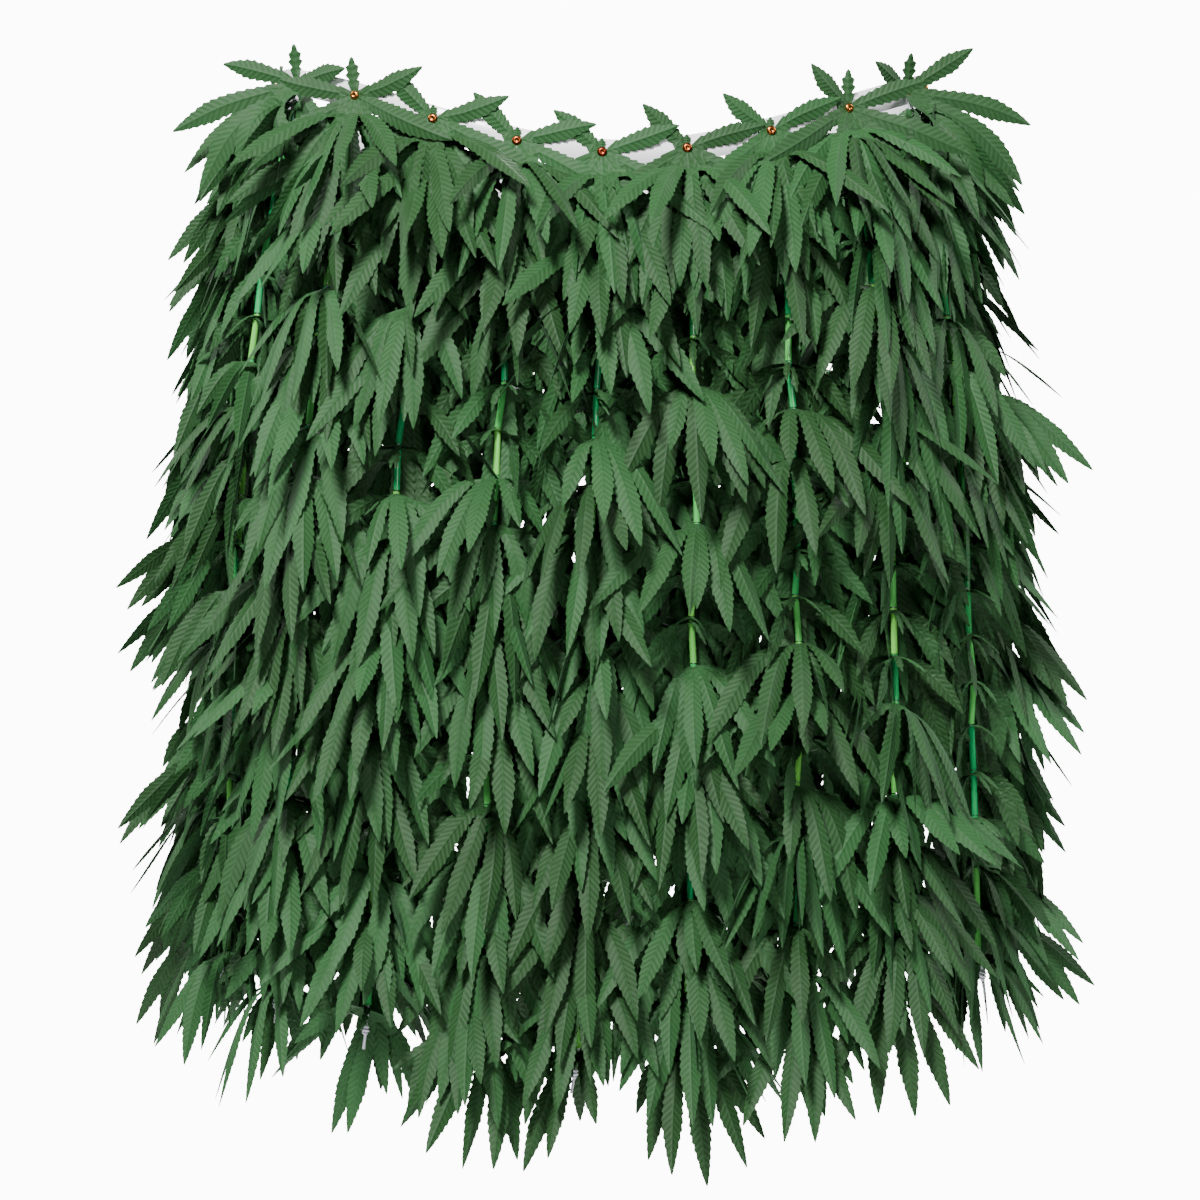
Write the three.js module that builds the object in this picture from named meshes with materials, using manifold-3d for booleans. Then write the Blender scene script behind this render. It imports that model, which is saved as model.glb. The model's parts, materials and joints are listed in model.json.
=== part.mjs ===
// Hula skirt of cloth leaves, in the hollow shape that it takes round a wearer's hips.
// A flat tape waistband carries twenty-one hanging strands. Each strand is a string threaded through short
// tubes, with a drooping seven-fingered cloth leaf between one tube and the next, and its top leaf is
// riveted to the tape. The tape's two ends lap over each other at the back on hook-and-loop patches.
// Millimetres. +Z is up, the front faces -Y and +X is on the right of someone looking at the front.
// The origin is the middle of the waist opening, level with the tape at the two sides of the hips.
import * as THREE from "three";
import { mergeVertices } from "three/addons/utils/BufferGeometryUtils.js";
import Module from "manifold-3d";

// ---- Driving sizes ----
const STRANDS = 21;
const STRAND_PITCH = 50.8; // along the tape, from rivet to rivet
const WAIST_HALF_WIDTH = 202;
const WAIST_ROUNDNESS = 2.5; // exponent of the oval: 2 is an ellipse, more is squarer
const WAIST_DIP = 56; // how far the tape hangs lower at the front and the back than at the sides
const DIP_SHIFT = 12; // the lowest place of the tape is this far to the right of its front middle
const TAPE_WIDTH = 16;
const TAPE_THICKNESS = 1;
const TAPE_STEP = STRAND_PITCH / 5; // so that a section of the tape lies behind each rivet
const SEAM_GAP = 0.3; // between pieces that touch

const CLOSURE_AT = 10.5 * STRAND_PITCH; // the back middle, between two strands
const CLOSURE_LAP = 0.6 * STRAND_PITCH; // how far one end lies over the other
const PATCH = { length: 26, height: 13, thickness: 0.8 };

const LEAF_PITCH = 27.8; // one tube and one leaf
const LEAVES = 20; // on a strand, with the riveted one
const SOLID_LEAVES = 10; // of them, spaced evenly, in the solid
const STRING_TOP = 4; // where the string leaves the rivet
const FIRST_DROP = 14; // where the riveted leaf's lower fingers start to hang
const TUBE_RADIUS = 2;
const STRING_RADIUS = 0.9;
const STRING_TAIL = 26; // below the last leaf, with its end knot
const KNOT_RADIUS = 2.4;

// The hips spread the strands: their plan grows by these shares, over this drop.
const FLARE_WIDTH = 0.22;
const FLARE_DEPTH = 0.18;
const FLARE_DROP = 165;

// Fingers of a leaf in the solids, going round it from the longest. PALM is where they part, and from
// there they hang.
const FINGERS = [
  { name: "middle", length: 88 },
  { name: "inner left", length: 82 },
  { name: "outer left", length: 66 },
  { name: "base", length: 50 },
  { name: "outer right", length: 66 },
  { name: "inner right", length: 82 },
];
const PALM = { radius: 15, share: 0.6, halfHeight: 1.5, droop: 4 };
const RIB = 2.4; // how thick a finger is at its root, on the side that faces the string
const REACH = { out: 50, inwards: 14 }; // how far finger tips stand away from the string
const SIDE_ROOM = 3; // how far a finger may reach past the middle between two strands

const RIVET = { radius: 2.8, height: 1.7, edge: 0.6, sides: 8 };
const CROWN = { palm: 7, thickness: 1, up: 25, slanted: 29, level: 22 };

// Sideways drift of each strand at the hem, counted to the right of someone who faces the strand,
// which of its leaves' fingers comes first, and the twist of its leaves round the string, in radians.
const STRAND_ROWS = [
  { at: "front middle", drift: -16, turn: 0, twist: 0.2 },
  { at: "front right 1", drift: -14, turn: 3, twist: -0.3 },
  { at: "front right 2", drift: -8, turn: 5, twist: 0.45 },
  { at: "front right 3", drift: -8, turn: 1, twist: 0 },
  { at: "front right 4", drift: 2, turn: 4, twist: -0.2 },
  { at: "right side", drift: 3, turn: 2, twist: 0.35 },
  { at: "back right 5", drift: -3, turn: 0, twist: -0.45 },
  { at: "back right 4", drift: -4, turn: 3, twist: 0.1 },
  { at: "back right 3", drift: -5, turn: 0, twist: 0.5 },
  { at: "back right 2", drift: 2, turn: 5, twist: -0.1 },
  { at: "back right 1", drift: 11, turn: 2, twist: 0.3 },
  { at: "back left 1", drift: 17, turn: 4, twist: -0.35 },
  { at: "back left 2", drift: 20, turn: 1, twist: 0.15 },
  { at: "back left 3", drift: 20, turn: 0, twist: 0.4 },
  { at: "back left 4", drift: 12, turn: 3, twist: -0.25 },
  { at: "back left 5", drift: 4, turn: 5, twist: 0.05 },
  { at: "left side", drift: 4, turn: 4, twist: -0.4 },
  { at: "front left 4", drift: -1, turn: 0, twist: 0.25 },
  { at: "front left 3", drift: -14, turn: 2, twist: -0.15 },
  { at: "front left 2", drift: -16, turn: 1, twist: 0.5 },
  { at: "front left 1", drift: -12, turn: 4, twist: -0.05 },
];

const GREEN_CLOTH = new THREE.MeshStandardMaterial({ color: 0x3f7a43, roughness: 0.7, metalness: 0 });
const WHITE_TAPE = new THREE.MeshStandardMaterial({ color: 0xf2f1f6, roughness: 0.35, metalness: 0 });
const COPPER = new THREE.MeshStandardMaterial({ color: 0xb5602f, roughness: 0.3, metalness: 1 });
const WHITE_NYLON = new THREE.MeshStandardMaterial({ color: 0xe9e8ea, roughness: 0.9, metalness: 0 });

// ---- The waist oval, by distance along the tape from the front middle, to the right ----
const PERIMETER = STRANDS * STRAND_PITCH;
const OVAL_STEPS = 1440;

function ovalPoint(turn, halfDepth) {
  const power = 2 / WAIST_ROUNDNESS;
  const side = Math.sin(turn);
  const front = Math.cos(turn);
  return new THREE.Vector2(
    WAIST_HALF_WIDTH * Math.sign(side) * Math.abs(side) ** power,
    -halfDepth * Math.sign(front) * Math.abs(front) ** power,
  );
}

function ovalLine(halfDepth) {
  const points = [];
  for (let i = 0; i <= OVAL_STEPS; i++) points.push(ovalPoint((2 * Math.PI * i) / OVAL_STEPS, halfDepth));
  const along = [0];
  for (let i = 1; i < points.length; i++) along.push(along[i - 1] + points[i].distanceTo(points[i - 1]));
  return { points, along };
}

// The half depth that gives the oval the tape's length.
function fittedOval() {
  let low = 20;
  let high = WAIST_HALF_WIDTH;
  for (let i = 0; i < 40; i++) {
    const middle = (low + high) / 2;
    if (ovalLine(middle).along[OVAL_STEPS] < PERIMETER) low = middle;
    else high = middle;
  }
  return ovalLine(low);
}
const OVAL = fittedOval();

function planAt(distance) {
  const s = ((distance % PERIMETER) + PERIMETER) % PERIMETER;
  let i = 1;
  while (i < OVAL_STEPS && OVAL.along[i] < s) i++;
  const share = (s - OVAL.along[i - 1]) / (OVAL.along[i] - OVAL.along[i - 1]);
  return OVAL.points[i - 1].clone().lerp(OVAL.points[i], share);
}

// Where the tape's middle line is, with the directions out from the wearer and along the tape.
function tapeAt(distance) {
  const reach = STRAND_PITCH / 8;
  const p = planAt(distance);
  const along = planAt(distance + reach).sub(planAt(distance - reach)).normalize();
  const rise = Math.cos((2 * Math.PI * (distance - DIP_SHIFT)) / PERIMETER) ** 2;
  return {
    point: new THREE.Vector3(p.x, p.y, -WAIST_DIP * rise),
    out: new THREE.Vector3(along.y, -along.x, 0),
    along: new THREE.Vector3(along.x, along.y, 0),
  };
}

// ---- Meshes ----
function meshOf(name, points, faces, material) {
  const geometry = new THREE.BufferGeometry();
  geometry.setAttribute("position", new THREE.Float32BufferAttribute(points.flatMap((p) => [p.x, p.y, p.z]), 3));
  geometry.setIndex(faces.flat());
  geometry.computeVertexNormals();
  const mesh = new THREE.Mesh(geometry, material);
  mesh.name = name;
  return mesh;
}

// A flat strip that follows the tape: offsetAt gives how far out its middle surface lies.
function strip(name, from, to, sections, offsetAt, thickness, height, material) {
  const points = [];
  const faces = [];
  for (let i = 0; i <= sections; i++) {
    const s = from + ((to - from) * i) / sections;
    const { point, out } = tapeAt(s);
    for (const [depth, rise] of [[-1, -1], [1, -1], [1, 1], [-1, 1]]) {
      const p = point.clone().addScaledVector(out, offsetAt(s) + (depth * thickness) / 2);
      p.z += (rise * height) / 2;
      points.push(p);
    }
    if (i === 0) continue;
    const last = 4 * (i - 1);
    for (let k = 0; k < 4; k++) {
      const next = (k + 1) % 4;
      faces.push([last + k, last + 4 + next, last + next], [last + k, last + 4 + k, last + 4 + next]);
    }
  }
  const end = 4 * sections;
  faces.push([0, 1, 2], [0, 2, 3], [end, end + 2, end + 1], [end, end + 3, end + 2]);
  return meshOf(name, points, faces, material);
}

// ---- Waistband and closure ----
const LAP_START = CLOSURE_AT - CLOSURE_LAP / 2;
const TUCK = TAPE_THICKNESS + 2 * PATCH.thickness + 3 * SEAM_GAP; // how far in the under end lies
const TUCK_RUN = 7;

function tapeOffset(s) {
  const past = (s - (LAP_START + PERIMETER - TUCK_RUN - 1)) / TUCK_RUN;
  return -TUCK * THREE.MathUtils.smoothstep(past, 0, 1);
}

function waistband() {
  const length = PERIMETER + CLOSURE_LAP;
  const sections = Math.round(length / TAPE_STEP);
  return strip("waistband", LAP_START, LAP_START + length, sections, tapeOffset, TAPE_THICKNESS, TAPE_WIDTH, WHITE_TAPE);
}

function patch(name, layer) {
  const inwards = TAPE_THICKNESS / 2 + SEAM_GAP + PATCH.thickness / 2 + layer * (PATCH.thickness + SEAM_GAP);
  return strip(name, CLOSURE_AT - PATCH.length / 2, CLOSURE_AT + PATCH.length / 2, 6, () => -inwards,
    PATCH.thickness, PATCH.height, WHITE_NYLON);
}

// ---- Strands ----
function strandFrame(number) {
  return { ...tapeAt(number * STRAND_PITCH), number, row: STRAND_ROWS[number] };
}

// The strand's middle line at a drop below its rivet.
function strandPoint(frame, drop) {
  const spread = 1 - Math.exp(-Math.max(0, drop - FIRST_DROP) / FLARE_DROP);
  const thick = THREE.MathUtils.lerp(STRING_RADIUS, TUBE_RADIUS, Math.min(1, drop / (FIRST_DROP - PALM.halfHeight)));
  return new THREE.Vector3(
    frame.point.x * (1 + FLARE_WIDTH * spread),
    frame.point.y * (1 + FLARE_DEPTH * spread),
    frame.point.z - drop,
  )
    .addScaledVector(frame.out, TAPE_THICKNESS / 2 + SEAM_GAP + thick)
    .addScaledVector(frame.along, frame.row.drift * (drop / (LEAVES * LEAF_PITCH)) ** 1.3);
}

// Half of the way from a strand to the nearer of its neighbours, over the drop that a leaf takes up.
function halfRoom(frame, drop) {
  const ends = [drop, drop + FINGERS[0].length];
  const sides = [-1, 1].map((step) => strandFrame((frame.number + step + STRANDS) % STRANDS));
  const ways = sides.flatMap((side) => ends.map((end) => strandPoint(side, end).distanceTo(strandPoint(frame, end))));
  return Math.min(...ways) / 2 + SIDE_ROOM;
}

// How far a finger that points at this angle from straight out may stand away from its string.
function reachAt(angle, room) {
  const out = Math.cos(angle);
  const side = Math.abs(Math.sin(angle));
  const width = out < 0 ? THREE.MathUtils.lerp(room, REACH.inwards, Math.min(1, -1.4 * out)) : room;
  const depth = out < 0 ? REACH.inwards : REACH.out;
  return 1 / Math.hypot(out / depth, side / width);
}

function ringPoint(frame, centre, angle, radius, below = 0) {
  const p = centre
    .clone()
    .addScaledVector(frame.out, radius * Math.cos(angle))
    .addScaledVector(frame.along, radius * Math.sin(angle));
  p.z -= below;
  return p;
}

// One closed solid: string, tubes, drooping leaves, tail and knot.
function strandSolid(frame) {
  const sides = FINGERS.length;
  const twist = frame.row.twist;
  const points = [];
  const faces = [];
  const turnOf = (side, twist) => twist + (2 * Math.PI * side) / sides;
  const ring = (drop, radius, twist) => {
    const centre = strandPoint(frame, drop);
    const start = points.length;
    for (let i = 0; i < sides; i++) points.push(ringPoint(frame, centre, turnOf(i, twist), radius));
    return start;
  };
  const wall = (upper, lower) => {
    for (let i = 0; i < sides; i++) {
      const next = (i + 1) % sides;
      faces.push([upper + i, lower + i, lower + next], [upper + i, lower + next, upper + next]);
    }
  };
  const cap = (start, up) => {
    for (let i = 1; i < sides - 1; i++) faces.push(up ? [start, start + i, start + i + 1] : [start, start + i + 1, start + i]);
  };
  const leaf = (drop, turn) => {
    const centre = strandPoint(frame, drop);
    const room = halfRoom(frame, drop);
    const palmAt = (angle) => Math.min(PALM.radius, PALM.share * reachAt(angle, room));
    const upper = ring(drop - PALM.halfHeight, TUBE_RADIUS, twist);
    const lower = ring(drop + PALM.halfHeight, TUBE_RADIUS, twist);
    const notches = points.length;
    for (let i = 0; i < sides; i++) {
      const angle = turnOf(i, twist);
      points.push(ringPoint(frame, centre, angle, palmAt(angle), PALM.droop));
    }
    const fingers = points.length;
    for (let i = 0; i < sides; i++) {
      const angle = turnOf(i + 0.5, twist);
      const palm = palmAt(angle);
      const reach = reachAt(angle, room);
      const hang = FINGERS[(i + turn) % sides].length - palm;
      const tip = ringPoint(frame, centre, angle, reach, PALM.droop + Math.sqrt(hang ** 2 - (reach - palm) ** 2));
      const root = points[notches + i].clone().lerp(points[notches + ((i + 1) % sides)], 0.5);
      const inwards = centre.clone().sub(root).setZ(0).setLength(RIB);
      const rib = root.add(inwards);
      rib.z -= RIB;
      points.push(tip, rib);
    }
    for (let i = 0; i < sides; i++) {
      const next = (i + 1) % sides;
      const [notch, nextNotch, tip, rib] = [notches + i, notches + next, fingers + 2 * i, fingers + 2 * i + 1];
      faces.push([upper + i, notch, nextNotch], [upper + i, nextNotch, upper + next], [notch, tip, nextNotch]);
      faces.push([lower + i, rib, notch], [lower + i, lower + next, rib], [lower + next, nextNotch, rib]);
      faces.push([notch, rib, tip], [nextNotch, tip, rib]);
    }
    return { upper, lower };
  };

  const top = ring(STRING_TOP, STRING_RADIUS, twist);
  cap(top, true);
  let above = top;
  const last = (LEAVES - 1) * LEAF_PITCH;
  for (let j = 0; j < SOLID_LEAVES; j++) {
    const drop = THREE.MathUtils.lerp(FIRST_DROP, last, j / (SOLID_LEAVES - 1));
    const { upper, lower } = leaf(drop, (2 * j + frame.row.turn) % sides);
    wall(above, upper);
    above = lower;
  }
  for (const [drop, radius] of [[8, STRING_RADIUS], [STRING_TAIL - 8, STRING_RADIUS], [STRING_TAIL - 4, KNOT_RADIUS], [STRING_TAIL, STRING_RADIUS]]) {
    const next = ring(last + drop, radius, twist);
    wall(above, next);
    above = next;
  }
  cap(above, false);
  return { points, faces };
}

// The riveted leaf's palm and its upper fingers, flat on the tape.
function crownGeometry(frame) {
  const rows = [
    [0, CROWN.up], [50, CROWN.slanted], [97, CROWN.level], [180, CROWN.palm + 4], [263, CROWN.level], [310, CROWN.slanted],
  ];
  const shape = new THREE.Shape();
  rows.forEach(([degrees, length], i) => {
    const next = i + 1 < rows.length ? rows[i + 1][0] : 360;
    const notch = THREE.MathUtils.degToRad((degrees + next) / 2);
    const tip = THREE.MathUtils.degToRad(degrees);
    if (i === 0) shape.moveTo(length * Math.sin(tip), length * Math.cos(tip));
    else shape.lineTo(length * Math.sin(tip), length * Math.cos(tip));
    shape.lineTo(CROWN.palm * Math.sin(notch), CROWN.palm * Math.cos(notch));
  });
  shape.closePath();
  const geometry = new THREE.ExtrudeGeometry(shape, { depth: CROWN.thickness, bevelEnabled: false });
  const place = frame.point.clone().addScaledVector(frame.out, TAPE_THICKNESS / 2 + SEAM_GAP);
  const basis = new THREE.Matrix4().makeBasis(frame.along, new THREE.Vector3(0, 0, 1), frame.out);
  return geometry.applyMatrix4(basis).translate(place.x, place.y, place.z);
}

const wasm = await Module();
wasm.setup();

function solidOf(geometry) {
  const bare = geometry.clone();
  bare.deleteAttribute("normal");
  bare.deleteAttribute("uv");
  const merged = mergeVertices(bare, 1e-4);
  return new wasm.Manifold(new wasm.Mesh({
    numProp: 3,
    vertProperties: new Float32Array(merged.attributes.position.array),
    triVerts: new Uint32Array(merged.index.array),
  }));
}

function geometryOf(solid) {
  const { vertProperties, triVerts } = solid.getMesh();
  const geometry = new THREE.BufferGeometry();
  geometry.setAttribute("position", new THREE.BufferAttribute(new Float32Array(vertProperties), 3));
  geometry.setIndex(new THREE.BufferAttribute(new Uint32Array(triVerts), 1));
  geometry.computeVertexNormals();
  return geometry;
}

function strand(number) {
  const frame = strandFrame(number);
  const { points, faces } = strandSolid(frame);
  const hanging = meshOf("hanging", points, faces, GREEN_CLOTH).geometry;
  const joined = solidOf(hanging).add(solidOf(crownGeometry(frame)));
  const mesh = new THREE.Mesh(geometryOf(joined), GREEN_CLOTH);
  mesh.name = `strand_${String(number + 1).padStart(2, "0")}`;
  return mesh;
}

// ---- Rivets ----
function rivet(number) {
  const frame = strandFrame(number);
  const profile = [[0, 0], [RIVET.radius, 0], [RIVET.radius * 0.85, RIVET.edge * 2], [0, RIVET.height]].map(
    ([radius, height]) => new THREE.Vector2(radius, height),
  );
  const mesh = new THREE.Mesh(new THREE.LatheGeometry(profile, RIVET.sides), COPPER);
  mesh.name = `rivet_${String(number + 1).padStart(2, "0")}`;
  mesh.quaternion.setFromUnitVectors(new THREE.Vector3(0, 1, 0), frame.out);
  const off = TAPE_THICKNESS / 2 + SEAM_GAP + CROWN.thickness + SEAM_GAP;
  mesh.position.copy(frame.point).addScaledVector(frame.out, off);
  return mesh;
}

// ---- Assembly ----
const skirt = new THREE.Group();
skirt.add(waistband(), patch("closure_hook", 0), patch("closure_loop", 1));
for (let number = 0; number < STRANDS; number++) skirt.add(strand(number), rivet(number));

export default skirt;
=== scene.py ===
# %% [markdown]
# # A hula skirt of cloth leaves
# The skirt is a flat white tape that wraps round the hips, with twenty-one strands hanging from it. Each
# strand is a string threaded through short green tubes, with seven-fingered cloth leaves between one
# tube and the next. A copper rivet holds the top leaf of each strand to the tape.
# The frame already holds the plain solids of these pieces. This script makes the fine surface that
# stands for them: real leaf outlines with teeth, tubes, strings, knots and finishes.

# %% Open the shared frame
import bisect
import json
import math
import random
from collections import namedtuple

import bpy
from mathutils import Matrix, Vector

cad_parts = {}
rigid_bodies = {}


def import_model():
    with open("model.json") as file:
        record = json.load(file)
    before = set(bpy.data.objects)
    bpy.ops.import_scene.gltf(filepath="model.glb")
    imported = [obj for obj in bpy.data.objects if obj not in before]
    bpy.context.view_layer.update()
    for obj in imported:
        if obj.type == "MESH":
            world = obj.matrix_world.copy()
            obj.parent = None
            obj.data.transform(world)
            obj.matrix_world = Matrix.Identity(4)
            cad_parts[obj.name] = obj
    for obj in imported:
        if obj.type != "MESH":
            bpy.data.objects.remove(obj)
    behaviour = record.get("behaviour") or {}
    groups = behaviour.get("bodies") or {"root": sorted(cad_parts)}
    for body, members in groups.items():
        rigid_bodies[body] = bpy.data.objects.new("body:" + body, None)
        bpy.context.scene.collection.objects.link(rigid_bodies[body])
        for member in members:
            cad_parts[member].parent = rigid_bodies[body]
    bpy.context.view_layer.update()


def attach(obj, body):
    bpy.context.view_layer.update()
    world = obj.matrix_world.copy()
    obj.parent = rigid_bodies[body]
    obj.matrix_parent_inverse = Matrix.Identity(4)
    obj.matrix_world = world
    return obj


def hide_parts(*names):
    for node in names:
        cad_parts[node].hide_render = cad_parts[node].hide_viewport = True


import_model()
MM = 0.001

# %% [markdown]
# ## The camera
# A skirt hung at the waist is looked at from the level of its middle, so that the back of the tape
# shows a little lower than the front. A long lens about two metres away keeps the strands parallel.
# The lens is worked out from how wide a view is wanted at the front strands.

# %% Camera
CAMERA_AWAY = 2.1
CAMERA_HEIGHT = -323 * MM
CAMERA_SIDE = -1.2 * MM
FRONT_PLANE = -0.11  # Y of the front strands
VIEW_WIDTH = 720 * MM  # across the picture, at the front strands
SENSOR_WIDTH = 36  # millimetres, which is the unit that Blender wants for it

camera_data = bpy.data.cameras.new("camera")
camera_data.sensor_width = SENSOR_WIDTH
camera_data.lens = SENSOR_WIDTH * (CAMERA_AWAY + FRONT_PLANE) / VIEW_WIDTH
camera = bpy.data.objects.new("camera", camera_data)
camera.location = (CAMERA_SIDE, -CAMERA_AWAY, CAMERA_HEIGHT)
camera.rotation_euler = (math.radians(90), 0, 0)
bpy.context.collection.objects.link(camera)
bpy.context.scene.camera = camera
print("lens", round(camera_data.lens, 1), "mm")

# %% [markdown]
# ## Where everything hangs
# The tape follows an oval round the hips and dips at the front and the back. Every other piece is
# placed by its distance along the tape and its drop below it, so two small functions place the lot.
# The strands spread over the hips as they fall, and each drifts a little to one side.

# %% Sizes of the tape and the strands
STRANDS = 21
STRAND_PITCH = 50.8 * MM
PERIMETER = STRANDS * STRAND_PITCH
WAIST_HALF_WIDTH = 202 * MM
WAIST_ROUNDNESS = 2.5  # 2 would be an ellipse, and more is squarer
WAIST_DIP = 56 * MM
DIP_SHIFT = 12 * MM  # the lowest place of the tape, to the right of its front middle
TAPE_WIDTH = 16 * MM
TAPE_THICKNESS = 1 * MM
SEAM_GAP = 0.3 * MM
LEAF_PITCH = 27.8 * MM
LEAVES = 20  # leaf places on a strand, with the one under its rivet
TUBE_RADIUS = 2 * MM
STRING_RADIUS = 0.9 * MM
FIRST_DROP = 14 * MM  # over which a strand comes from its string's thickness to a tube's
FLARE_WIDTH, FLARE_DEPTH, FLARE_DROP = 0.22, 0.18, 165 * MM
print("tape round the hips", round(PERIMETER / MM), "mm")

# %% The oval, by distance along the tape
OVAL_STEPS = 1440
HALVINGS = 30  # of the range that the oval's depth is searched in


def oval_line(half_depth):
    points, along = [], [0.0]
    for i in range(OVAL_STEPS + 1):
        turn = 2 * math.pi * i / OVAL_STEPS
        side, front = math.sin(turn), math.cos(turn)
        power = 2 / WAIST_ROUNDNESS
        points.append(Vector((
            math.copysign(WAIST_HALF_WIDTH * abs(side) ** power, side),
            -math.copysign(half_depth * abs(front) ** power, front),
        )))
        if i:
            along.append(along[-1] + (points[-1] - points[-2]).length)
    return points, along


low, high = 0.02, WAIST_HALF_WIDTH
for _ in range(HALVINGS):
    middle = (low + high) / 2
    if oval_line(middle)[1][-1] < PERIMETER:
        low = middle
    else:
        high = middle
oval_points, oval_along = oval_line(low)
print("half depth of the waist", round(low / MM, 1), "mm")


# %% A place on the tape
Place = namedtuple("Place", "point out along")


def plan_at(distance):
    s = distance % PERIMETER
    i = min(max(bisect.bisect_left(oval_along, s), 1), OVAL_STEPS)
    share = (s - oval_along[i - 1]) / (oval_along[i] - oval_along[i - 1])
    return oval_points[i - 1].lerp(oval_points[i], share)


def tape_at(distance):
    reach = STRAND_PITCH / 8  # to each side, for the direction of the tape
    p = plan_at(distance)
    along = (plan_at(distance + reach) - plan_at(distance - reach)).normalized()
    rise = math.cos(2 * math.pi * (distance - DIP_SHIFT) / PERIMETER) ** 2
    return Place(
        Vector((p.x, p.y, -WAIST_DIP * rise)),
        Vector((along.y, -along.x, 0)),
        Vector((along.x, along.y, 0)),
    )


print("front rivets at X", [round(tape_at(k * STRAND_PITCH).point.x / MM) for k in range(-4, 5)])

# %% A place on a strand
# Each strand by its place: its drift at the hem to the right of someone who faces it, and the stretches,
# by drop, where its leaves turn their backs and let the tubes show.
Strand = namedtuple("Strand", "at drift bare")
STRAND_ROWS = [
    Strand("front middle", -16, [(85, 180), (400, 430), (515, 530)]),
    Strand("front right 1", -14, [(10, 130), (160, 205), (250, 300), (400, 430)]),
    Strand("front right 2", -8, [(75, 290), (430, 480)]),
    Strand("front right 3", -8, [(235, 345)]),
    Strand("front right 4", 2, [(55, 155), (255, 450), (515, 530)]),
    Strand("right side", 3, [(60, 120)]),
    Strand("back right 5", -3, [(120, 160)]),
    Strand("back right 4", -4, [(300, 360)]),
    Strand("back right 3", -5, [(60, 130)]),
    Strand("back right 2", 2, [(270, 330)]),
    Strand("back right 1", 11, [(110, 170), (400, 450)]),
    Strand("back left 1", 17, [(50, 110), (280, 340)]),
    Strand("back left 2", 20, [(200, 260)]),
    Strand("back left 3", 20, [(380, 450)]),
    Strand("back left 4", 12, [(100, 160)]),
    Strand("back left 5", 4, [(200, 260)]),
    Strand("left side", 4, [(310, 380)]),
    Strand("front left 4", -1, [(55, 155), (370, 430), (480, 525)]),
    Strand("front left 3", -14, [(60, 90), (370, 400), (480, 525)]),
    Strand("front left 2", -16, [(55, 85), (115, 235), (400, 460), (500, 530)]),
    Strand("front left 1", -12, [(110, 205), (330, 370)]),
]
DRIFT_CURVE = 1.3  # 1 would be a straight slant, and more starts it later


def strand_point(number, drop):
    place = tape_at(number * STRAND_PITCH)
    spread = 1 - math.exp(-max(0, drop - FIRST_DROP) / FLARE_DROP)
    thick = STRING_RADIUS + (TUBE_RADIUS - STRING_RADIUS) * min(1, drop / FIRST_DROP)
    drift = STRAND_ROWS[number].drift * MM * (max(drop, 0) / (LEAVES * LEAF_PITCH)) ** DRIFT_CURVE
    point = Vector((
        place.point.x * (1 + FLARE_WIDTH * spread),
        place.point.y * (1 + FLARE_DEPTH * spread),
        place.point.z - drop,
    ))
    return point + place.out * (TAPE_THICKNESS / 2 + SEAM_GAP + thick) + place.along * drift


print("strands that show at the front:", [row.at for row in STRAND_ROWS if row.at.startswith("front")])

# %% [markdown]
# ## Nodes, colours and materials
# Materials and Geometry Nodes trees are both built from nodes, so one function adds a node, gives it its
# settings and joins it up. Every colour goes through one function that turns a screen colour into the
# linear values that the shader wants.


# %% A node, a colour and a material
def put(tree, kind, inputs=None, **settings):
    """Add a node with its settings. An input takes a value, a socket, or another node's first output."""
    node = tree.nodes.new(kind)
    for key, value in settings.items():
        setattr(node, key, value)
    for key, value in (inputs or {}).items():
        if isinstance(value, bpy.types.Node):
            value = value.outputs[0]
        if isinstance(value, bpy.types.NodeSocket):
            tree.links.new(value, node.inputs[key])
        else:
            node.inputs[key].default_value = value
    return node


def colour(code):
    """A hex screen colour as linear red, green, blue and alpha."""
    channels = [int(code[i : i + 2], 16) / 255 for i in (1, 3, 5)]
    return [c / 12.92 if c <= 0.04045 else ((c + 0.055) / 1.055) ** 2.4 for c in channels] + [1]


def new_finish(name, **values):
    """A material whose Principled shader has these values, with its node tree and that shader."""
    material = bpy.data.materials.new(name)
    material.use_nodes = True
    shader = material.node_tree.nodes["Principled BSDF"]
    for key, value in values.items():
        shader.inputs[key.replace("_", " ")].default_value = value
    return material, material.node_tree, shader


MATH, MIX, NOISE, BUMP = "ShaderNodeMath", "ShaderNodeMix", "ShaderNodeTexNoise", "ShaderNodeBump"
SHARE, FIRST, SECOND, MIXED = 0, 6, 7, 2  # the sockets that a Mix node uses for colours
print("white is", colour("#FFFFFF"))

# %% [markdown]
# ## Leaf cloth
# Dyed cloth is never one flat green: each leaf is cut from another part of the roll, the pressed veins
# have a painted highlight, a paler blue-green where they would catch light, and the weave scatters light.
# The veins follow the leaf, so they are drawn from the leaf's own UV map: U runs along a finger and V across
# it.

# %% Veins along each finger
UV_LENGTH = 100 * MM  # of finger along U
UV_WIDTH = 20 * MM  # of finger across V, with the midrib at 0.5
VEIN_PITCH = 4.2 * MM  # along the finger, from one pressed vein to the next
VEIN_SLANT = 1.1  # how far a vein runs towards the tip as it goes out, for each mm across
MIDRIB_EDGE = 18  # in V: the midrib fades out over 1/18 of UV_WIDTH, about 1 mm
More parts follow.
